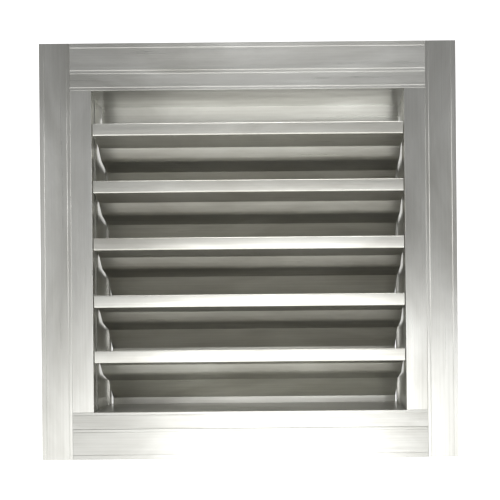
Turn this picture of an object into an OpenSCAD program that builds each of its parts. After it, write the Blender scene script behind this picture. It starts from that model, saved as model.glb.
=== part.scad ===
// Intake louver: extruded aluminium frame with a flange and five fixed, stepped blades.
// Millimetres. X runs across the opening, Y into the wall and Z up. The origin is the
// centre of the wall opening, in the plane where the flange seats on the wall.
// Sections are drawn as [depth behind the front plane, height or distance outwards].

/* [Frame] */
// Width of the frame over both jambs
frame_w = 444.5; // [360:0.5:700]
// Height of the frame over both rails
frame_h = 444.5; // [420:0.5:500]
// Depth of the frame from front to back
frame_depth = 101.6; // [98:0.1:112]
// Thickness of every extruded wall
wall = 2.06; // [1.8:0.02:2.4]
// Height of a rail's front face
rail_face = 21; // [18:0.1:26]
// Width of a jamb's front face
jamb_face = 26.65; // [25:0.05:32]
// Depth of the frame's outer edge, which the flange is riveted to
edge_depth = 20; // [17:0.5:26]
// Distance from the opening to the line that marks the rim of a rail's face
rim_w = 3.6; // [2.8:0.1:5]

/* [Jambs] */
// How far a jamb's face stands over the opening, in front of its web
overhang = 5.1; // [4.6:0.1:7]
// Depth of the lip behind the inner edge of a jamb's face
return_depth = 9.6; // [7:0.1:11]
// Height of the ribs that the blades are screwed up against
rib_h = 2.5; // [1.5:0.1:3]
// Width of those ribs
rib_w = 7; // [6:0.1:9]

/* [Water stop] */
// Depth from the front to the plate that hangs from the top rail
stop_at = 57.5; // [50:0.5:70]
// Length of that plate below the rail
stop_drop = 30; // [20:0.5:34]

/* [Flange] */
// Width of the flange's face
flange_face = 38.1; // [30:0.1:60]
// Depth of the flange's leg
flange_leg = 19; // [15:0.5:24]
// Distance from the flange's outer edge to the outer line along its face
outer_line = 5.8; // [4:0.1:8]
// Distance from the frame to the inner line along the flange's face
inner_line = 3.8; // [3:0.1:6]
// Gap at the seams between the four flange pieces
seam = 0.35; // [0.1:0.05:0.8]

/* [Blades] */
// Height of the front lip
lip_h = 16.5; // [13:0.1:20]
// Fall of the first tread in degrees
first_fall = 25.7; // [22:0.1:28]
// Depth at which the first tread meets the first riser
step_at = 38; // [36:0.1:40]
// Fall of both risers in degrees
riser_fall = 52; // [48:0.5:55]
// Depth from the top of the first riser to its nose
riser_run = 10.5; // [9:0.1:12]
// Fall of the second tread in degrees
second_fall = 19; // [16:0.1:23]
// Depth of the second tread
tread_run = 26.3; // [24:0.1:28]
// Height of the upright hook at the back
hook_h = 9.1; // [6:0.1:12]
// Radius of the nose between the first riser and the second tread
nose_r = 13; // [10:0.5:15]
// Distance from the back of the blades to the back of the frame
rear_setback = 4.54; // [3:0.1:7]
// Distance from the top rail down to the first blade
first_drop = 39.95; // [38:0.1:44]
// How much closer the lowest blade is than the others, because it stands on the rail
lowest_closer = 2.5; // [0:0.1:5]
// Gap between the ends of a lip and the jambs' faces
lip_gap = 1.6; // [0.8:0.1:3]

/* [Fasteners] */
// Radius of a screw's shank
screw_r = 2.05; // [1.8:0.05:2.2]
// Length of a screw under its head
screw_len = 19; // [14:0.5:25]
// Radius of a screw's head
head_r = 4; // [3.4:0.1:4.4]
// Height of a screw's head
head_h = 2.6; // [2:0.1:3]
// Radius of a rivet's body
rivet_r = 2; // [1.6:0.05:2.4]
// Radius of a rivet's head
rivet_head_r = 3.8; // [3.2:0.1:4.6]
// Distance from a flange leg's end to its first rivet
rivet_inset = 48; // [35:1:60]
// Number of rivets in each flange piece
rivet_count = 3; // [2:1:6]

/* [Hidden] */

// Clearances: between faces that are pulled together, in a screw port, and in a drilled hole
seat = 0.05;
port_clear = 0.1;
hole_clear = 0.2;

// Screw ports: C-shaped channels that stand on a wall and are sunk a little into it
port_wall = 1.9;
port_sink = 0.8;
port_slot = 2.4;
port_r = screw_r + port_clear;
port_outer = port_r + port_wall;
port_rise = wall + port_outer - port_sink;
front_port = 28;
rear_port = 83.5;
corner_ports = [14, 69];

// Small forms of the extrusions
edge_r = 0.5;
line_w = 0.9;
line_deep = 0.3;
bead_r = 1.7;
lip_top_r = 1.5;
fillet_r = 0.8;
bend_r = 3;
cope_clear = 1.4;

// Planes of the frame
front_y = -wall;
open_z = frame_h / 2 - rail_face;
edge_z = frame_h / 2;
edge_x = frame_w / 2;
face_x = edge_x - jamb_face;
web_x = face_x + overhang;
blade_x = web_x - rib_h - seat;
rivet_y = (wall + flange_leg) / 2;

// Corners of the blade's lower side, with its height counted from the top of the lip
lip_z = -wall / cos(first_fall) - wall * tan(first_fall);
step_z = lip_z - (step_at - wall) * tan(first_fall);
nose_at = step_at + riser_run;
nose_z = step_z - riser_run * tan(riser_fall);
second_at = nose_at + tread_run;
second_z = nose_z - tread_run * tan(second_fall);
hook_at = frame_depth - rear_setback - wall;
hook_z = second_z - (hook_at - second_at) * tan(riser_fall);

// Heights of the five lips' tops, the last one for a blade that stands on the bottom rail
first_z = open_z - first_drop;
last_z = hook_h - hook_z + seat - open_z;
pitch = (first_z - last_z + lowest_closer) / 4;
blade_z = [for (i = [0:4]) i < 4 ? first_z - i * pitch : last_z];

// Centre of a port that stands on the upper side of a slope, from a point of its lower side
function port_on(at, z, fall, depth) =
    [depth, z - (depth - port_rise * sin(fall) - at) * tan(fall) + port_rise * cos(fall)];

front_port_z = port_on(wall, lip_z, first_fall, front_port)[1];
rear_port_z = port_on(second_at, second_z, riser_fall, rear_port)[1];

// Places of the rivets along a leg that reaches from -half to half
function rivet_places(half) = [for (i = [0:rivet_count - 1])
    (half - rivet_inset) * (2 * i / (rivet_count - 1) - 1)];

// Unit vector from one point to the next, and the same turned to the left
function heading(a, b) = (b - a) / norm(b - a);
function left_of(v) = [-v[1], v[0]];

// A path moved to its left, with mitred corners
function shifted(path, t) = [for (i = [0:len(path) - 1])
    let (
        last = len(path) - 1,
        before = heading(path[max(i - 1, 0)], path[max(i, 1)]),
        after = heading(path[min(i, last - 1)], path[min(i + 1, last)]),
        bisector = left_of(before) + left_of(after)
    )
    path[i] + bisector * (2 * t / (bisector * bisector))
];

// A path whose corners are turned into arcs, each of its own radius
function rounded(path, radii, steps = 5) = [for (i = [0:len(path) - 1])
    if (radii[i] == 0) path[i]
    else
        let (
            before = heading(path[i - 1], path[i]),
            after = heading(path[i], path[i + 1]),
            side = sign(left_of(before) * after),
            turn = acos(before * after),
            start = path[i] - before * radii[i] * tan(turn / 2),
            centre = start + left_of(before) * side * radii[i],
            arm = start - centre
        )
        for (k = [0:steps])
            let (a = side * turn * k / steps)
            centre + arm * cos(a) + left_of(arm) * sin(a)
];

function backwards(list) = [for (i = [len(list) - 1:-1:0]) list[i]];

// A wall of even thickness on the left of a path, or on its right where t is negative
module walled(path, radii, far_radii, t = wall) {
    polygon(concat(rounded(path, radii), backwards(rounded(shifted(path, t), far_radii))));
}

// Notch of a line that the die draws along a face
module die_line(at) {
    polygon([
        [-1, at - line_w], [0, at - line_w / 2], [line_deep, at],
        [0, at + line_w / 2], [-1, at + line_w]
    ]);
}

// Section of a screw port, with its slot on the side that the angle names
module port_ring(opens) {
    rotate(opens) difference() {
        circle(r = port_outer, $fn = 48);
        circle(r = port_r, $fn = 48);
        translate([0, -port_slot / 2]) square([port_outer + 1, port_slot]);
    }
}

// A section drawn as [depth, height], run along X to both sides of the middle
module along_x(half) {
    translate([-half, front_y, 0]) rotate([90, 0, 90]) linear_extrude(2 * half) children();
}

module both_sides() {
    children();
    mirror([1, 0, 0]) children();
}

// Rails, drawn with the web at z = 0 and the channel above it
module rail_section() {
    difference() {
        walled(
            [[edge_depth, rail_face], [0, rail_face], [0, 0], [frame_depth, 0], [frame_depth, rail_face]],
            [0, edge_r, edge_r, edge_r, 0], [0, edge_r, edge_r, edge_r, 0]
        );
        die_line(rim_w);
    }
}

module rail() {
    difference() {
        along_x(edge_x - seat) rail_section();
        both_sides() for (depth = corner_ports)
            translate([web_x + port_rise, front_y + depth, -1])
                cylinder(r = screw_r + hole_clear, h = wall + 2, $fn = 40);
        for (x = rivet_places(edge_x))
            translate([x, front_y + rivet_y, rail_face - wall - 1])
                cylinder(r = rivet_r + hole_clear, h = wall + 2, $fn = 40);
    }
}

// The plate of the water stop hangs from the top rail and has a bead at its foot
module water_stop() {
    along_x(web_x - lip_gap) {
        translate([stop_at, -stop_drop + wall / 2]) square([wall, stop_drop]);
        translate([stop_at + wall / 2, -stop_drop + wall / 2]) circle(r = wall * 0.7, $fn = 32);
    }
}

module top_rail() {
    color("#a9a9a6") translate([0, 0, open_z]) {
        rail();
        water_stop();
    }
}

module bottom_rail() {
    color("#b4b3ae") translate([0, 0, -open_z]) mirror([0, 0, 1]) rail();
}

// Jambs, drawn as [distance from the inner edge of the face, depth]
module jamb_section() {
    walled(
        [[0, return_depth], [0, 0], [jamb_face, 0], [jamb_face, edge_depth]],
        [0, edge_r, edge_r, 0], [0, edge_r, edge_r, 0]
    );
    translate([overhang, wall / 2]) square([wall, frame_depth - wall / 2]);
    translate([overhang, frame_depth - wall]) square([jamb_face - overhang, wall]);
    for (depth = [front_port, rear_port])
        translate([overhang - rib_h, depth - rib_w / 2]) square([rib_h + wall / 2, rib_w]);
    for (depth = corner_ports)
        translate([overhang + port_rise, depth]) port_ring(0);
}

module blade_screw_places() {
    for (z = blade_z) {
        translate([web_x, front_y + front_port, z + front_port_z]) children();
        translate([web_x, front_y + rear_port, z + rear_port_z]) children();
    }
}

module jamb() {
    difference() {
        translate([face_x, front_y, seat - open_z])
            linear_extrude(2 * (open_z - seat)) jamb_section();
        blade_screw_places() rotate([0, 90, 0]) translate([0, 0, -rib_h - 1])
            cylinder(r = screw_r + hole_clear, h = rib_h + wall + 2, $fn = 40);
        for (z = rivet_places(edge_z))
            translate([edge_x - wall - 1, front_y + rivet_y, z])
                rotate([0, 90, 0]) cylinder(r = rivet_r + hole_clear, h = wall + 2, $fn = 40);
    }
}

module right_jamb() {
    color("#b9b8b4") jamb();
}

module left_jamb() {
    color("#b0afac") mirror([1, 0, 0]) jamb();
}

// Flange angles, drawn with their leg on z = 0 and their face above it
module flange_section() {
    difference() {
        walled([[flange_leg, seat], [0, seat], [0, flange_face]], [0, edge_r, 0], [0, edge_r, 0], -wall);
        die_line(inner_line);
        die_line(flange_face - outer_line);
    }
}

module flange_angle(face_half, leg_half) {
    difference() {
        along_x(face_half) flange_section();
        both_sides() translate([leg_half, 0, -1]) cube([flange_face + 1, flange_leg, wall + 2]);
        for (x = rivet_places(leg_half))
            translate([x, front_y + rivet_y, -1])
                cylinder(r = rivet_r + hole_clear, h = wall + 2, $fn = 40);
    }
}

module level_flange() {
    translate([0, 0, edge_z]) flange_angle(edge_x - seam, edge_x);
}

module upright_flange() {
    translate([edge_x, 0, 0]) rotate([0, 90, 0]) flange_angle(edge_z + flange_face, edge_z);
}

module flange_top() {
    color("#a2a1a0") level_flange();
}

module flange_bottom() {
    color("#dddcd6") mirror([0, 0, 1]) level_flange();
}

module flange_right() {
    color("#b6b6b2") upright_flange();
}

module flange_left() {
    color("#aeadad") mirror([1, 0, 0]) upright_flange();
}

// Blades, drawn with the top of the lip at z = 0
module blade_section() {
    walled(
        [
            [wall, -lip_h + bead_r], [wall, lip_z], [step_at, step_z], [nose_at, nose_z],
            [second_at, second_z], [hook_at, hook_z], [hook_at, hook_z - hook_h]
        ],
        [0, fillet_r, bend_r, nose_r, bend_r, fillet_r, 0],
        [0, lip_top_r, bend_r + wall, nose_r - wall, bend_r + wall, bend_r, 0]
    );
    translate([bead_r, -lip_h + bead_r]) circle(r = bead_r, $fn = 32);
    translate([front_port, front_port_z]) port_ring(90 - first_fall);
    translate([rear_port, rear_port_z]) port_ring(90 - riser_fall);
}

// The lips are cut back at both ends to clear the lips of the jambs
module blade(i) {
    translate([0, 0, blade_z[i - 1]]) difference() {
        along_x(blade_x) blade_section();
        both_sides() translate([face_x - lip_gap, front_y - 1, -lip_h - 1])
            cube([blade_x, return_depth + cope_clear + 1, lip_h + 2]);
    }
}

module blade_1() {
    color("#c9c8c3") blade(1);
}

module blade_2() {
    color("#c6c5c0") blade(2);
}

module blade_3() {
    color("#c9c8c3") blade(3);
}

module blade_4() {
    color("#c6c5c0") blade(4);
}

module blade_5() {
    color("#c9c8c3") blade(5);
}

// Pan head screw with a cross recess, head up, its underside on z = 0
module screw() {
    difference() {
        rotate_extrude($fn = 32) polygon([
            [0, -screw_len], [0.5, -screw_len], [screw_r, 3 - screw_len], [screw_r, 0],
            [head_r, 0], [head_r, head_h * 0.4], [head_r * 0.85, head_h * 0.8],
            [head_r * 0.5, head_h], [0, head_h]
        ]);
        for (turn = [0, 90])
            rotate(turn) translate([-head_r / 2, -0.4, head_h * 0.35]) cube([head_r, 0.8, head_h]);
    }
}

// The four screws of a blade, through the jambs' webs and ribs into the blade's ports
module blade_screws(i) {
    color("#d8d8d8") translate([0, front_y, blade_z[i - 1]]) both_sides()
        for (port = [[front_port, front_port_z], [rear_port, rear_port_z]])
            translate([web_x + wall + seat, port[0], port[1]]) rotate([0, 90, 0]) screw();
}

module blade_1_screws() {
    blade_screws(1);
}

module blade_2_screws() {
    blade_screws(2);
}

module blade_3_screws() {
    blade_screws(3);
}

module blade_4_screws() {
    blade_screws(4);
}

module blade_5_screws() {
    blade_screws(5);
}

// The two screws of the top right corner, through the rail's web into the jamb's ports
module corner_screws() {
    color("#d8d8d8") for (depth = corner_ports)
        translate([web_x + port_rise, front_y + depth, open_z + wall + seat]) screw();
}

module corner_screws_top_right() {
    corner_screws();
}

module corner_screws_top_left() {
    mirror([1, 0, 0]) corner_screws();
}

module corner_screws_bottom_right() {
    mirror([0, 0, 1]) corner_screws();
}

module corner_screws_bottom_left() {
    mirror([0, 0, 1]) mirror([1, 0, 0]) corner_screws();
}

// Blind rivet, head up: z = 0 is the frame's edge, between the two walls that it holds
module rivet() {
    top = wall + 2 * seat;
    bottom = -wall - seat;
    rotate_extrude($fn = 32) polygon([
        [0, bottom - 4], [1.4, bottom - 4], [2.2, bottom - 3.4], [2.6, bottom - 2], [2.6, bottom],
        [rivet_r, bottom], [rivet_r, top], [rivet_head_r, top], [rivet_head_r * 0.85, top + 0.7],
        [rivet_head_r * 0.5, top + 1.15], [1, top + 1.2], [1, top + 0.4], [0, top + 0.4]
    ]);
}

module level_rivets() {
    color("#cfcfcf") for (x = rivet_places(edge_x))
        translate([x, front_y + rivet_y, edge_z]) rivet();
}

module upright_rivets() {
    color("#cfcfcf") for (z = rivet_places(edge_z))
        translate([edge_x, front_y + rivet_y, z]) rotate([0, 90, 0]) rivet();
}

module flange_rivets_top() {
    level_rivets();
}

module flange_rivets_bottom() {
    mirror([0, 0, 1]) level_rivets();
}

module flange_rivets_right() {
    upright_rivets();
}

module flange_rivets_left() {
    mirror([1, 0, 0]) upright_rivets();
}

top_rail();
bottom_rail();
left_jamb();
right_jamb();
flange_top();
flange_bottom();
flange_left();
flange_right();
blade_1();
blade_2();
blade_3();
blade_4();
blade_5();
blade_1_screws();
blade_2_screws();
blade_3_screws();
blade_4_screws();
blade_5_screws();
corner_screws_top_left();
corner_screws_top_right();
corner_screws_bottom_left();
corner_screws_bottom_right();
flange_rivets_top();
flange_rivets_bottom();
flange_rivets_left();
flange_rivets_right();
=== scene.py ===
"""Intake louver in mill-finish aluminium: a flanged channel frame with five fixed, stepped blades."""

from math import acos, atan2, cos, pi, radians, sin, tan

import bpy
from mathutils import Matrix, Vector


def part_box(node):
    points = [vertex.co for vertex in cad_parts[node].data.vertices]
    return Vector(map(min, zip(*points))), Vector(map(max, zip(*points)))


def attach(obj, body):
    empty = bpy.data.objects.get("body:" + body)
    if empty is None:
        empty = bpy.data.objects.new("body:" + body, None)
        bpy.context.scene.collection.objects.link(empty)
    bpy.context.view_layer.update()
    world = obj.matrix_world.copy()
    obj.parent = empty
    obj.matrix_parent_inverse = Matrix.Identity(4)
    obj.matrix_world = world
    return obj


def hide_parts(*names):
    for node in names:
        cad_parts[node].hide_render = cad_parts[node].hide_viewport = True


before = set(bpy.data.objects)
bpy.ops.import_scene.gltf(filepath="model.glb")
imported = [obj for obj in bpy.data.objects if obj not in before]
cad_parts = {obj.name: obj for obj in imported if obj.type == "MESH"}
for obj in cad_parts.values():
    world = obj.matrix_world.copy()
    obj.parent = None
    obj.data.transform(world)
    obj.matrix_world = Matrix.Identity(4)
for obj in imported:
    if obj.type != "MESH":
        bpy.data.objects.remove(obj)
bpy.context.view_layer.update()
mm = 0.001

# Camera and studio. The camera looks square at the louver from a little right of its middle and
# below it, with the lens shifted back over the louver and the picture turned by half a degree.
front_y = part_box("top_rail")[0].y
camera_away = 769 * mm
camera_right = 46.4 * mm
camera_up = -106 * mm
picture_w = 625 * mm
picture_turn = 0.0090
picture_off = Vector((1.4 * mm, 0.3 * mm))

camera_data = bpy.data.cameras.new("camera")
camera_data.sensor_width = 36
camera_data.lens = 36 * camera_away / picture_w
middle = Matrix.Rotation(picture_turn, 2) @ Vector((-camera_right, -camera_up))
camera_data.shift_x = (middle.x + picture_off.x) / picture_w
camera_data.shift_y = (middle.y + picture_off.y) / picture_w
camera = bpy.data.objects.new("camera", camera_data)
camera.location = (camera_right, front_y - camera_away, camera_up)
camera.rotation_euler = (pi / 2, picture_turn, 0)
bpy.context.scene.collection.objects.link(camera)
bpy.context.scene.camera = camera
bpy.context.scene.view_settings.view_transform = "Standard"


def linear(code):
    """An sRGB hex colour as linear red, green, blue and alpha."""
    parts = [int(code[i:i + 2], 16) / 255 for i in (0, 2, 4)]
    return [p / 12.92 if p <= 0.04045 else ((p + 0.055) / 1.055) ** 2.4 for p in parts] + [1]


def add(tree, kind, feeds=None, **settings):
    """A node with its settings. Each feed goes to the input of that name or number: a socket is
    linked to it, and anything else is its value."""
    node = tree.nodes.new(kind)
    for name, value in settings.items():
        setattr(node, name, value)
    for key, feed in (feeds or {}).items():
        if isinstance(feed, bpy.types.NodeSocket):
            tree.links.new(feed, node.inputs[key])
        else:
            node.inputs[key].default_value = feed
    return node


def mesh_object(name, points, faces):
    """An object with a new mesh, linked to the scene."""
    mesh = bpy.data.meshes.new(name)
    mesh.from_pydata(points, [], faces)
    mesh.update()
    made = bpy.data.objects.new(name, mesh)
    bpy.context.scene.collection.objects.link(made)
    return made


def blank_material(name):
    """A new material with only its output node, and its tree."""
    material = bpy.data.materials.new(name)
    material.use_nodes = True
    material.node_tree.nodes.clear()
    return material, material.node_tree


def painted_paper(name, colour, glow):
    """Matt studio paper. It glows a little in the picture and in what the metal mirrors, so that
    it comes out pale behind the louver with no more light on the louver itself."""
    material, tree = blank_material(name)
    seen = add(tree, "ShaderNodeLightPath")
    either = add(tree, "ShaderNodeMath", {0: seen.outputs["Is Camera Ray"], 1: seen.outputs["Is Glossy Ray"]},
                 operation="MAXIMUM")
    any_of = add(tree, "ShaderNodeMath", {0: either.outputs[0], 1: seen.outputs["Is Transmission Ray"]},
                 operation="MAXIMUM")
    strength = add(tree, "ShaderNodeMath", {0: any_of.outputs[0], 1: glow}, operation="MULTIPLY")
    matt = add(tree, "ShaderNodeBsdfDiffuse", {"Color": linear(colour)})
    light = add(tree, "ShaderNodeEmission", {"Color": linear("ffffff"), "Strength": strength.outputs[0]})
    both = add(tree, "ShaderNodeAddShader", {0: matt.outputs[0], 1: light.outputs[0]})
    add(tree, "ShaderNodeOutputMaterial", {"Surface": both.outputs[0]})
    return material


floor_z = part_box("flange_left")[0].z - 300 * mm
floor = mesh_object("floor", [(x, y, floor_z) for x, y in ((-6, -6), (6, -6), (6, 6), (-6, 6))], [(0, 1, 2, 3)])
floor.data.materials.append(painted_paper("floor_paper", "f4f4f2", 0.9))
backdrop = mesh_object("backdrop", [(x, 6, z) for x, z in ((-6, floor_z), (-6, 6), (6, 6), (6, floor_z))],
                       [(0, 1, 2, 3)])
backdrop.data.materials.append(painted_paper("backdrop_paper", "f4f4f2", 1.0))
# Painted shade: a black sheet under the floor behind the louver that only the metal's reflections see, so the blades'
# undersides mirror darkness below and behind it
card = mesh_object("card", [(x, y, floor_z + mm) for x, y in ((-0.8, 0.1), (0.8, 0.1), (0.8, 1.4), (-0.8, 1.4))],
                   [(0, 1, 2, 3)])
card.data.materials.append(painted_paper("painted_shade_card_paper", "080808", 0.0))
card.visible_camera = card.visible_diffuse = card.visible_shadow = False

world = bpy.data.worlds.new("world")
bpy.context.scene.world = world
world.use_nodes = True
world.node_tree.nodes["Background"].inputs["Color"].default_value = linear("ffffff")
world.node_tree.nodes["Background"].inputs["Strength"].default_value = 0.3

# Each lamp: name, place, size and watts, all aimed at the middle of the louver
for name, place, size, watts in (
    ("lamp_above", (0, -0.9, 1.9), 1.2, 20),
    ("lamp_left", (-1.9, -1.3, 0.4), 1.0, 12),
    ("lamp_right", (1.9, -1.3, 0.4), 1.0, 12),
    ("lamp_low", (0, -1.9, -0.45), 1.0, 10),
):
    lamp = bpy.data.lights.new(name, "AREA")
    lamp.shape = "SQUARE"
    lamp.size = size
    lamp.energy = watts
    holder = bpy.data.objects.new(name, lamp)
    holder.location = place
    holder.rotation_euler = (-Vector(place)).to_track_quat("-Z", "Y").to_euler()
    bpy.context.scene.collection.objects.link(holder)


# Rails: the top and bottom channels of the frame, extruded in aluminium and cut to length. Their
# faces have the fine lines of the die along them, and stains where they were handled.
def extruded_aluminium(name, colour, dark, along, line_mm=2.5, rough=(0.27, 0.35), seed=0.0):
    """Mill-finish aluminium, as it leaves the die: clean metal with drawn lines along one axis,
    which blur what it mirrors across them, and cloudy stains from handling."""
    material, tree = blank_material(name)
    place = add(tree, "ShaderNodeTexCoord").outputs["Object"]
    across = 1 / (line_mm * mm)
    stretch = [across] * 3
    stretch[along] = across / 90
    lines = add(tree, "ShaderNodeTexNoise", {
        "Vector": add(tree, "ShaderNodeMapping", {
            "Vector": place, "Location": [seed] * 3, "Scale": stretch}).outputs[0],
        "Scale": 1, "Detail": 4, "Roughness": 0.65})
    broad = [1 / (60 * mm)] * 3
    broad[along] = 1 / (220 * mm)
    clouds = add(tree, "ShaderNodeTexNoise", {
        "Vector": add(tree, "ShaderNodeMapping", {
            "Vector": place, "Location": [seed + 3] * 3, "Scale": broad}).outputs[0],
        "Scale": 1, "Detail": 5, "Roughness": 0.55, "Distortion": 0.6})
    stain = add(tree, "ShaderNodeMapRange", {
        "Value": clouds.outputs[0], "From Min": 0.35, "From Max": 0.7, "To Min": 0.0, "To Max": 0.7})
    line_tint = add(tree, "ShaderNodeMapRange", {
        "Value": lines.outputs[0], "From Min": 0.3, "From Max": 0.7, "To Min": 0.0, "To Max": 0.3})
    shade = add(tree, "ShaderNodeMath", {0: stain.outputs[0], 1: line_tint.outputs[0]}, operation="ADD",
                use_clamp=True)
    tint = add(tree, "ShaderNodeMix", {0: shade.outputs[0], 6: linear(colour), 7: linear(dark)},
               data_type="RGBA")
    sheen = add(tree, "ShaderNodeMapRange", {
        "Value": lines.outputs[0], "From Min": 0.3, "From Max": 0.7, "To Min": rough[0], "To Max": rough[1]})
    relief = add(tree, "ShaderNodeBump", {
        "Height": lines.outputs[0], "Strength": 0.25, "Distance": 0.05 * mm})
    metal = add(tree, "ShaderNodeBsdfPrincipled", {
        "Base Color": tint.outputs[2], "Metallic": 1.0, "Roughness": sheen.outputs[0],
        "Anisotropic": 0.6, "Anisotropic Rotation": 0.25,
        "Tangent": add(tree, "ShaderNodeCombineXYZ", {along: 1.0}).outputs[0],
        "Normal": relief.outputs[0]})
    add(tree, "ShaderNodeOutputMaterial", {"Surface": metal.outputs[0]})
    return material


def dress(node, material):
    """A CAD node in one material, in place of its own."""
    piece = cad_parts[node]
    piece.data.materials.clear()
    piece.data.materials.append(material)


for node, seed in (("top_rail", 0), ("bottom_rail", 7)):
    dress(node, extruded_aluminium(f"mill_aluminium_{node}", "d8d8d4", "a9a8a2", 0, seed=seed))

# Jambs: the two uprights between the rails, extruded with ribs for the blades and with screw
# ports outside. The lines of the die run up and down them.
for node, seed in (("left_jamb", 11), ("right_jamb", 15)):
    dress(node, extruded_aluminium(f"mill_aluminium_{node}", "d8d8d4", "a9a8a2", 2, seed=seed))

# Flange: four extruded angles riveted round the frame, the uprights full height and the level
# ones between them, sanded by hand at the corners.
for node, along, seed in (("flange_top", 0, 21), ("flange_bottom", 0, 24), ("flange_left", 2, 27), ("flange_right", 2, 30)):
    dress(node, extruded_aluminium(f"mill_aluminium_{node}", "d8d8d4", "a9a8a2", along, seed=seed))


# Blades: five lengths of one extrusion with a lip, two treads, two risers and a hook, screwed to
# the jambs through two ports on the hidden side. The lips are cut back at their ends.
def turned_left(v):
    return Vector((-v.y, v.x))


def shifted(path, off):
    """A path moved to its left with mitred corners."""
    moved = []
    for i, point in enumerate(path):
        before = (path[max(i, 1)] - path[max(i - 1, 0)]).normalized()
        after = (path[min(i + 1, len(path) - 1)] - path[min(i, len(path) - 2)]).normalized()
        bisector = turned_left(before) + turned_left(after)
        moved.append(point + bisector * (2 * off / bisector.length_squared))
    return moved


def rounded(path, radii, step=radians(3)):
    """A path whose corners are arcs, each of its own radius."""
    made = []
    for i, (point, radius) in enumerate(zip(path, radii)):
        if radius == 0:
            made.append(point)
            continue
        before = (point - path[i - 1]).normalized()
        after = (path[i + 1] - point).normalized()
        side = 1 if turned_left(before).dot(after) > 0 else -1
        turn = acos(before.dot(after))
        start = point - before * radius * tan(turn / 2)
        centre = start + turned_left(before) * side * radius
        count = max(3, round(turn / step))
        made += [centre + Matrix.Rotation(side * turn * k / count, 2) @ (start - centre) for k in range(count + 1)]
    return made


wall = 2.06 * mm
blade_low, blade_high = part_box("blade_1")
lip_h = 16.5 * mm
first_fall = radians(25.7)
riser_fall = radians(52)
second_fall = radians(19)
corner = Vector((wall, -wall / cos(first_fall) - wall * tan(first_fall)))
step = Vector((38 * mm, corner.y - (38 * mm - wall) * tan(first_fall)))
nose = step + Vector((10.5 * mm, -10.5 * mm * tan(riser_fall)))
second = nose + Vector((26.3 * mm, -26.3 * mm * tan(second_fall)))
hook_at = blade_high.y - front_y - wall
hook = Vector((hook_at, second.y - (hook_at - second.x) * tan(riser_fall)))
bead_r = 1.7 * mm
lower_side = [Vector((wall, -lip_h + bead_r)), corner, step, nose, second, hook, hook - Vector((0, 9.1 * mm))]
nose_r = 13 * mm
bend_r = 3 * mm
fillet_r = 0.8 * mm
outline = rounded(lower_side, [0, fillet_r, bend_r, nose_r, bend_r, fillet_r, 0]) + rounded(
    shifted(lower_side, wall), [0, 1.5 * mm, bend_r + wall, nose_r - wall, bend_r + wall, bend_r, 0])[::-1]


def port_on(point, fall, depth, rise):
    """Centre of a screw port at a depth on the upper side of a slope."""
    return Vector((depth, point.y - (depth - rise * sin(fall) - point.x) * tan(fall) + rise * cos(fall)))


port_r = 2.15 * mm
port_outer = port_r + 1.9 * mm
port_rise = wall + port_outer - 0.8 * mm
port_gap = 2.4 * mm
ports = [(port_on(corner, first_fall, 28 * mm, port_rise), pi / 2 - first_fall),
         (port_on(second, riser_fall, 83.5 * mm, port_rise), pi / 2 - riser_fall)]


def port_outline(centre, opens, count=28):
    """Outline of a C-shaped port, opening at an angle."""
    ring = []
    for radius, way in ((port_outer, 1), (port_r, -1)):
        half = pi - port_gap / 2 / radius
        turns = [opens + pi + way * (half * (2 * k / count - 1)) for k in range(count + 1)]
        ring += [centre + Vector((radius * cos(a), radius * sin(a))) for a in turns]
    return ring


def bead_outline(count=20):
    """Outline of the bead at the lip's free edge."""
    centre = Vector((bead_r, -lip_h + bead_r))
    return [centre + bead_r * Vector((cos(2 * pi * k / count), sin(2 * pi * k / count))) for k in range(count)]


def section_curve(name, outlines):
    """Closed outlines, drawn as depth and height, as one curve in the XY plane."""
    curve = bpy.data.curves.new(name, "CURVE")
    curve.dimensions = "2D"
    for points in outlines:
        spline = curve.splines.new("POLY")
        spline.points.add(len(points) - 1)
        for slot, point in zip(spline.points, points):
            slot.co = (point.x, point.y, 0, 1)
        spline.use_cyclic_u = True
    return bpy.data.objects.new(name, curve)


blade_section = section_curve("blade_section", [
    outline, bead_outline(), *(port_outline(centre, opens) for centre, opens in ports)])

blade_tree = bpy.data.node_groups.new("extrude_blade", "GeometryNodeTree")
blade_tree.interface.new_socket("Geometry", in_out="OUTPUT", socket_type="NodeSocketGeometry")
blade_inputs = {
    label: blade_tree.interface.new_socket(label, in_out="INPUT", socket_type=kind).identifier
    for label, kind in (("Section", "NodeSocketObject"), ("Half length", "NodeSocketFloat"),
                        ("Lip half length", "NodeSocketFloat"), ("Cope depth", "NodeSocketFloat"),
                        ("Lip height", "NodeSocketFloat"), ("Place", "NodeSocketVector"),
                        ("Metal", "NodeSocketMaterial"), ("Upper side", "NodeSocketMaterial"))}
given = add(blade_tree, "NodeGroupInput").outputs
back = add(blade_tree, "ShaderNodeMath", {0: given["Half length"], 1: -1.0}, operation="MULTIPLY").outputs[0]
run = add(blade_tree, "GeometryNodeCurvePrimitiveLine", {
    "Start": add(blade_tree, "ShaderNodeCombineXYZ", {"X": back}).outputs[0],
    "End": add(blade_tree, "ShaderNodeCombineXYZ", {"X": given["Half length"]}).outputs[0]}).outputs[0]
flat = add(blade_tree, "GeometryNodeObjectInfo", {"Object": given["Section"]}).outputs["Geometry"]
upright = add(blade_tree, "GeometryNodeTransform", {"Geometry": flat, "Rotation": (0, 0, pi)}).outputs[0]
bar = add(blade_tree, "GeometryNodeCurveToMesh", {
    "Curve": run, "Profile Curve": upright, "Fill Caps": True}).outputs[0]
cut_size = add(blade_tree, "ShaderNodeCombineXYZ", {
    "X": given["Half length"],
    "Y": add(blade_tree, "ShaderNodeMath", {0: given["Cope depth"], 1: 2.0}, operation="MULTIPLY").outputs[0],
    "Z": add(blade_tree, "ShaderNodeMath", {0: given["Lip height"], 1: 3.0}, operation="MULTIPLY").outputs[0]})
cutter = add(blade_tree, "GeometryNodeMeshCube", {"Size": cut_size.outputs[0]}).outputs[0]
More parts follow.
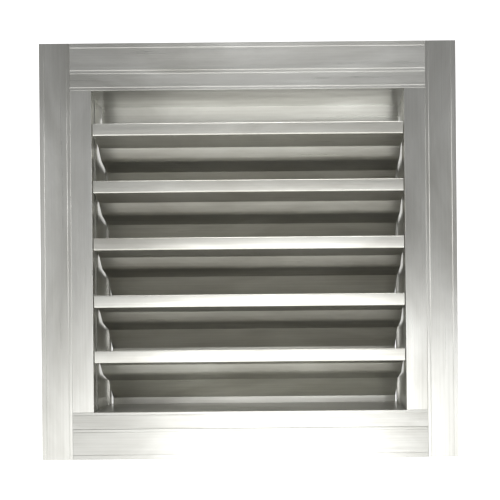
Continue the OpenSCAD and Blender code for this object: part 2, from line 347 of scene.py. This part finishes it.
reach = add(blade_tree, "ShaderNodeMath", {
    0: given["Half length"], 1: 0.5, 2: given["Lip half length"]}, operation="MULTIPLY_ADD").outputs[0]
bar_cut = add(blade_tree, "GeometryNodeMeshBoolean", {
    0: bar, "Self Intersection": True}, operation="DIFFERENCE", solver="EXACT")
for way in (-1.0, 1.0):
    aside = add(blade_tree, "ShaderNodeMath", {0: reach, 1: way}, operation="MULTIPLY").outputs[0]
    held = add(blade_tree, "GeometryNodeTransform", {
        "Geometry": cutter, "Translation": add(blade_tree, "ShaderNodeCombineXYZ", {"X": aside}).outputs[0]})
    blade_tree.links.new(held.outputs[0], bar_cut.inputs[1])
hung = add(blade_tree, "GeometryNodeTransform", {
    "Geometry": bar_cut.outputs[0], "Translation": given["Place"]}).outputs[0]
bare = add(blade_tree, "GeometryNodeSetMaterial", {"Geometry": hung, "Material": given["Metal"]}).outputs[0]
# Faces that look up and back get the upper-side material, which carries painted light: paler and matt, so the risers
# mirror them lit
way = add(blade_tree, "ShaderNodeSeparateXYZ", {0: add(blade_tree, "GeometryNodeInputNormal").outputs[0]}).outputs
low_side = add(blade_tree, "ShaderNodeMath", {0: way["Y"], 1: way["Z"]}, operation="MINIMUM").outputs[0]
facing = add(blade_tree, "FunctionNodeCompare", {0: low_side, 1: 0.28}, operation="GREATER_THAN").outputs[0]
finished = add(blade_tree, "GeometryNodeSetMaterial", {
    "Geometry": bare, "Selection": facing, "Material": given["Upper side"]}).outputs[0]
add(blade_tree, "NodeGroupOutput", {0: finished})


def painted_lit_aluminium(name, colour):
    """Aluminium with painted light for the blades' upper sides: a matt finish in a paler colour, so that the risers
    above mirror them as lit, and it no longer mirrors.
    """
    material, tree = blank_material(name)
    place = add(tree, "ShaderNodeTexCoord").outputs["Object"]
    patches = add(tree, "ShaderNodeTexNoise", {"Vector": place, "Scale": 18.0, "Detail": 5})
    tint = add(tree, "ShaderNodeMix", {0: patches.outputs[0], 6: linear(colour), 7: linear("b9b6ad")},
               data_type="RGBA")
    metal = add(tree, "ShaderNodeBsdfPrincipled", {
        "Base Color": tint.outputs[2], "Metallic": 0.25, "Roughness": 0.6})
    add(tree, "ShaderNodeOutputMaterial", {"Surface": metal.outputs[0]})
    return material



def made_by(tree, inputs, values, name, start_mesh=None, crease=radians(14)):
    """The plain mesh that a tree makes with these inputs, smooth where it bends by less than the crease."""
    maker = bpy.data.objects.new(name + "_maker", start_mesh or bpy.data.meshes.new(name + "_maker"))
    bpy.context.scene.collection.objects.link(maker)
    modifier = maker.modifiers.new("make", "NODES")
    modifier.node_group = tree
    for label, value in values.items():
        modifier[inputs[label]] = value
    seen = maker.evaluated_get(bpy.context.evaluated_depsgraph_get())
    mesh = bpy.data.meshes.new_from_object(seen)
    mesh.name = name
    mesh.shade_smooth()
    mesh.set_sharp_from_angle(angle=crease)
    bpy.data.objects.remove(maker)
    made = bpy.data.objects.new(name, mesh)
    bpy.context.scene.collection.objects.link(made)
    return made


# The blades' upper sides: painted light, paler and more matt than the metal below them
lit_upper_side = painted_lit_aluminium("painted_lit_upper_side", "e8e6e0")
lip_gap = 1.6 * mm
cope_depth = 11 * mm
for number in range(1, 6):
    low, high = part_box(f"blade_{number}")
    metal = extruded_aluminium(f"mill_aluminium_blade_{number}", "e2e2dc", "b4b2aa", 0, seed=40 + 5 * number)
    blade = made_by(blade_tree, blade_inputs, {
        "Section": blade_section, "Half length": high.x,
        "Lip half length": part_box("right_jamb")[0].x - lip_gap, "Cope depth": cope_depth,
        "Lip height": lip_h, "Place": (0, front_y, low.z - lower_side[-1].y), "Metal": metal,
        "Upper side": lit_upper_side},
        f"louver_blade_{number}")
    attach(blade, "root")
    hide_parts(f"blade_{number}")


# Screws: pan heads with a cross recess, four to a blade through the jambs and two at each corner
# through the rails. They are stainless steel, driven home and left as they stopped turning.
def turned(name, profile, count=28):
    """A closed shape turned about Z, from its outline of radius and height, which starts and ends on the axis."""
    points = [(0, 0, profile[0][1])]
    for radius, height in profile[1:-1]:
        points += [(radius * cos(2 * pi * k / count), radius * sin(2 * pi * k / count), height) for k in range(count)]
    points.append((0, 0, profile[-1][1]))
    faces = []
    rings = len(profile) - 2
    for k in range(count):
        n = (k + 1) % count
        faces.append((0, 1 + n, 1 + k))
        for r in range(rings - 1):
            a, b = 1 + r * count, 1 + (r + 1) * count
            faces.append((a + k, a + n, b + n, b + k))
        faces.append((1 + (rings - 1) * count + k, 1 + (rings - 1) * count + n, len(points) - 1))
    made = mesh_object(name, points, faces)
    made.hide_render = True
    return made


def fastener_tree(name):
    """Sets copies of a fastener on points, each along its point's way and turned by chance, with a
    cross sunk into its head where the cross has a size."""
    tree = bpy.data.node_groups.new(name, "GeometryNodeTree")
    tree.interface.new_socket("Geometry", in_out="OUTPUT", socket_type="NodeSocketGeometry")
    inputs = {label: tree.interface.new_socket(label, in_out="INPUT", socket_type=kind).identifier
              for label, kind in (("Places", "NodeSocketGeometry"), ("Fastener", "NodeSocketObject"),
                                  ("Cross length", "NodeSocketFloat"), ("Cross width", "NodeSocketFloat"),
                                  ("Cross floor", "NodeSocketFloat"), ("Seed", "NodeSocketInt"),
                                  ("Metal", "NodeSocketMaterial"))}
    given = add(tree, "NodeGroupInput").outputs
    blank = add(tree, "GeometryNodeObjectInfo", {"Object": given["Fastener"]}).outputs["Geometry"]
    sunk = add(tree, "GeometryNodeMeshBoolean", {0: blank}, operation="DIFFERENCE", solver="EXACT")
    lift = add(tree, "ShaderNodeMath", {0: given["Cross length"], 1: 0.5, 2: given["Cross floor"]},
               operation="MULTIPLY_ADD").outputs[0]
    for first, other in (("X", "Y"), ("Y", "X")):
        size = add(tree, "ShaderNodeCombineXYZ", {
            first: given["Cross length"], other: given["Cross width"], "Z": given["Cross length"]}).outputs[0]
        bar = add(tree, "GeometryNodeMeshCube", {"Size": size}).outputs[0]
        raised = add(tree, "GeometryNodeTransform", {
            "Geometry": bar, "Translation": add(tree, "ShaderNodeCombineXYZ", {"Z": lift}).outputs[0]})
        tree.links.new(raised.outputs[0], sunk.inputs[1])
    way = add(tree, "GeometryNodeInputNamedAttribute", {"Name": "way"}, data_type="FLOAT_VECTOR").outputs[0]
    aimed = add(tree, "FunctionNodeAlignRotationToVector", {"Vector": way}, axis="Z").outputs[0]
    chance = add(tree, "FunctionNodeRandomValue", {2: 0.0, 3: pi, "Seed": given["Seed"]}, data_type="FLOAT").outputs[1]
    spin = add(tree, "FunctionNodeAxisAngleToRotation", {"Axis": (0, 0, 1), "Angle": chance}).outputs[0]
    turn = add(tree, "FunctionNodeRotateRotation", {0: aimed, 1: spin}, rotation_space="LOCAL").outputs[0]
    set_out = add(tree, "GeometryNodeInstanceOnPoints", {
        "Points": given["Places"], "Instance": sunk.outputs[0], "Rotation": turn}).outputs[0]
    solid = add(tree, "GeometryNodeRealizeInstances", {"Geometry": set_out}).outputs[0]
    done = add(tree, "GeometryNodeSetMaterial", {"Geometry": solid, "Material": given["Metal"]}).outputs[0]
    add(tree, "NodeGroupOutput", {0: done})
    return tree, inputs


def places_mesh(name, places):
    """Points with the way that each fastener's head looks."""
    mesh = bpy.data.meshes.new(name)
    mesh.from_pydata([p for p, _ in places], [], [])
    ways = mesh.attributes.new("way", "FLOAT_VECTOR", "POINT")
    for item, (_, way) in zip(ways.data, places):
        item.vector = way
    return mesh


def bright_steel(name, colour, rough):
    """Stainless steel of cold-headed fasteners: clean, with a satin skin that blurs what it mirrors."""
    material, tree = blank_material(name)
    place = add(tree, "ShaderNodeTexCoord").outputs["Object"]
    grain = add(tree, "ShaderNodeTexNoise", {"Vector": place, "Scale": 900.0, "Detail": 3})
    sheen = add(tree, "ShaderNodeMapRange", {
        "Value": grain.outputs[0], "To Min": rough - 0.08, "To Max": rough + 0.08})
    relief = add(tree, "ShaderNodeBump", {"Height": grain.outputs[0], "Strength": 0.15, "Distance": 0.05 * mm})
    metal = add(tree, "ShaderNodeBsdfPrincipled", {
        "Base Color": linear(colour), "Metallic": 1.0, "Roughness": sheen.outputs[0],
        "Normal": relief.outputs[0]})
    add(tree, "ShaderNodeOutputMaterial", {"Surface": metal.outputs[0]})
    return material


seat = 0.05 * mm
screw_r = 2.05 * mm
screw_len = 19 * mm
head_r = 4 * mm
head_h = 2.6 * mm
thread = 1.6 * mm
shank = [(0, -screw_len), (0.3 * mm, -screw_len), (screw_r * 0.8, 3 * mm - screw_len)]
turns = int((screw_len - 4 * mm) / thread)
for k in range(turns):
    root = 3 * mm - screw_len + k * thread
    shank += [(screw_r * 0.8, root + 0.2 * thread), (screw_r, root + 0.5 * thread), (screw_r * 0.8, root + 0.8 * thread)]
head = [(head_r * cos(a), head_h * (0.35 + 0.65 * sin(a))) for a in (radians(d) for d in range(0, 90, 15))]
screw_shape = turned("screw_shape", shank + [
    (screw_r * 0.8, 0), (head_r - 0.15 * mm, 0), (head_r, 0.15 * mm)] + head + [(0, head_h)])
screw_tree, screw_inputs = fastener_tree("set_screws")

web_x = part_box("right_jamb")[0].x + 5.1 * mm
screw_places = []
for number in range(1, 6):
    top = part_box(f"blade_{number}")[0].z - lower_side[-1].y
    for centre, _ in ports:
        for side in (-1, 1):
            screw_places.append(((side * (web_x + wall + seat), front_y + centre.x, top + centre.y), (side, 0, 0)))
open_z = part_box("right_jamb")[1].z + seat
for side in (-1, 1):
    for way in (-1, 1):
        for depth in (14 * mm, 69 * mm):
            screw_places.append(((side * (web_x + port_rise), front_y + depth, way * (open_z + wall + seat)),
                                 (0, 0, way)))
screws = made_by(screw_tree, screw_inputs, {
    "Fastener": screw_shape, "Cross length": 4.4 * mm, "Cross width": 0.9 * mm, "Cross floor": 1.1 * mm,
    "Seed": 4, "Metal": bright_steel("stainless_screws", "c4c4c2", 0.32)},
    "pan_head_screws", places_mesh("screw_places", screw_places), radians(35))
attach(screws, "root")
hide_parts(*[f"blade_{number}_screws" for number in range(1, 6)],
            *[f"corner_screws_{v}_{h}" for v in ("top", "bottom") for h in ("left", "right")])

# Rivets: blind rivets through the flange's legs and the frame's outer edge, three to each side,
# with their mandrels snapped off inside the heads.
rivet_r = 2 * mm
rivet_head_r = 3.8 * mm
dome_h = 1.2 * mm
gripped = wall + seat
dome = [(rivet_head_r * cos(a), gripped + seat + dome_h * (0.15 + 0.85 * sin(a)))
        for a in (radians(d) for d in range(0, 75, 12))]
rivet_shape = turned("rivet_shape", [
    (0, -gripped - 4 * mm), (1.4 * mm, -gripped - 4 * mm), (2.2 * mm, -gripped - 3.4 * mm),
    (2.6 * mm, -gripped - 2.2 * mm), (2.6 * mm, -gripped), (rivet_r, -gripped), (rivet_r, gripped + seat),
    (rivet_head_r, gripped + seat)] + dome + [
    (1.0 * mm, gripped + seat + dome_h), (0.9 * mm, gripped + seat + 0.5 * mm), (0, gripped + seat + 0.4 * mm)])
rivet_tree, rivet_inputs = fastener_tree("set_rivets")
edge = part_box("top_rail")[1].z
rivet_y = front_y + (wall + 19 * mm) / 2
rivet_at = edge - 48 * mm
rivet_places = []
for off in (-rivet_at, 0, rivet_at):
    for way in (-1, 1):
        rivet_places.append(((off, rivet_y, way * edge), (0, 0, way)))
        rivet_places.append(((way * edge, rivet_y, off), (way, 0, 0)))
rivets = made_by(rivet_tree, rivet_inputs, {
    "Fastener": rivet_shape, "Seed": 9, "Metal": bright_steel("aluminium_rivets", "cfcfcc", 0.38)},
    "blind_rivets", places_mesh("rivet_places", rivet_places), radians(35))
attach(rivets, "root")
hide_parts(*[f"flange_rivets_{side}" for side in ("top", "bottom", "left", "right")])
for shape in (screw_shape, rivet_shape):
    bpy.data.objects.remove(shape)
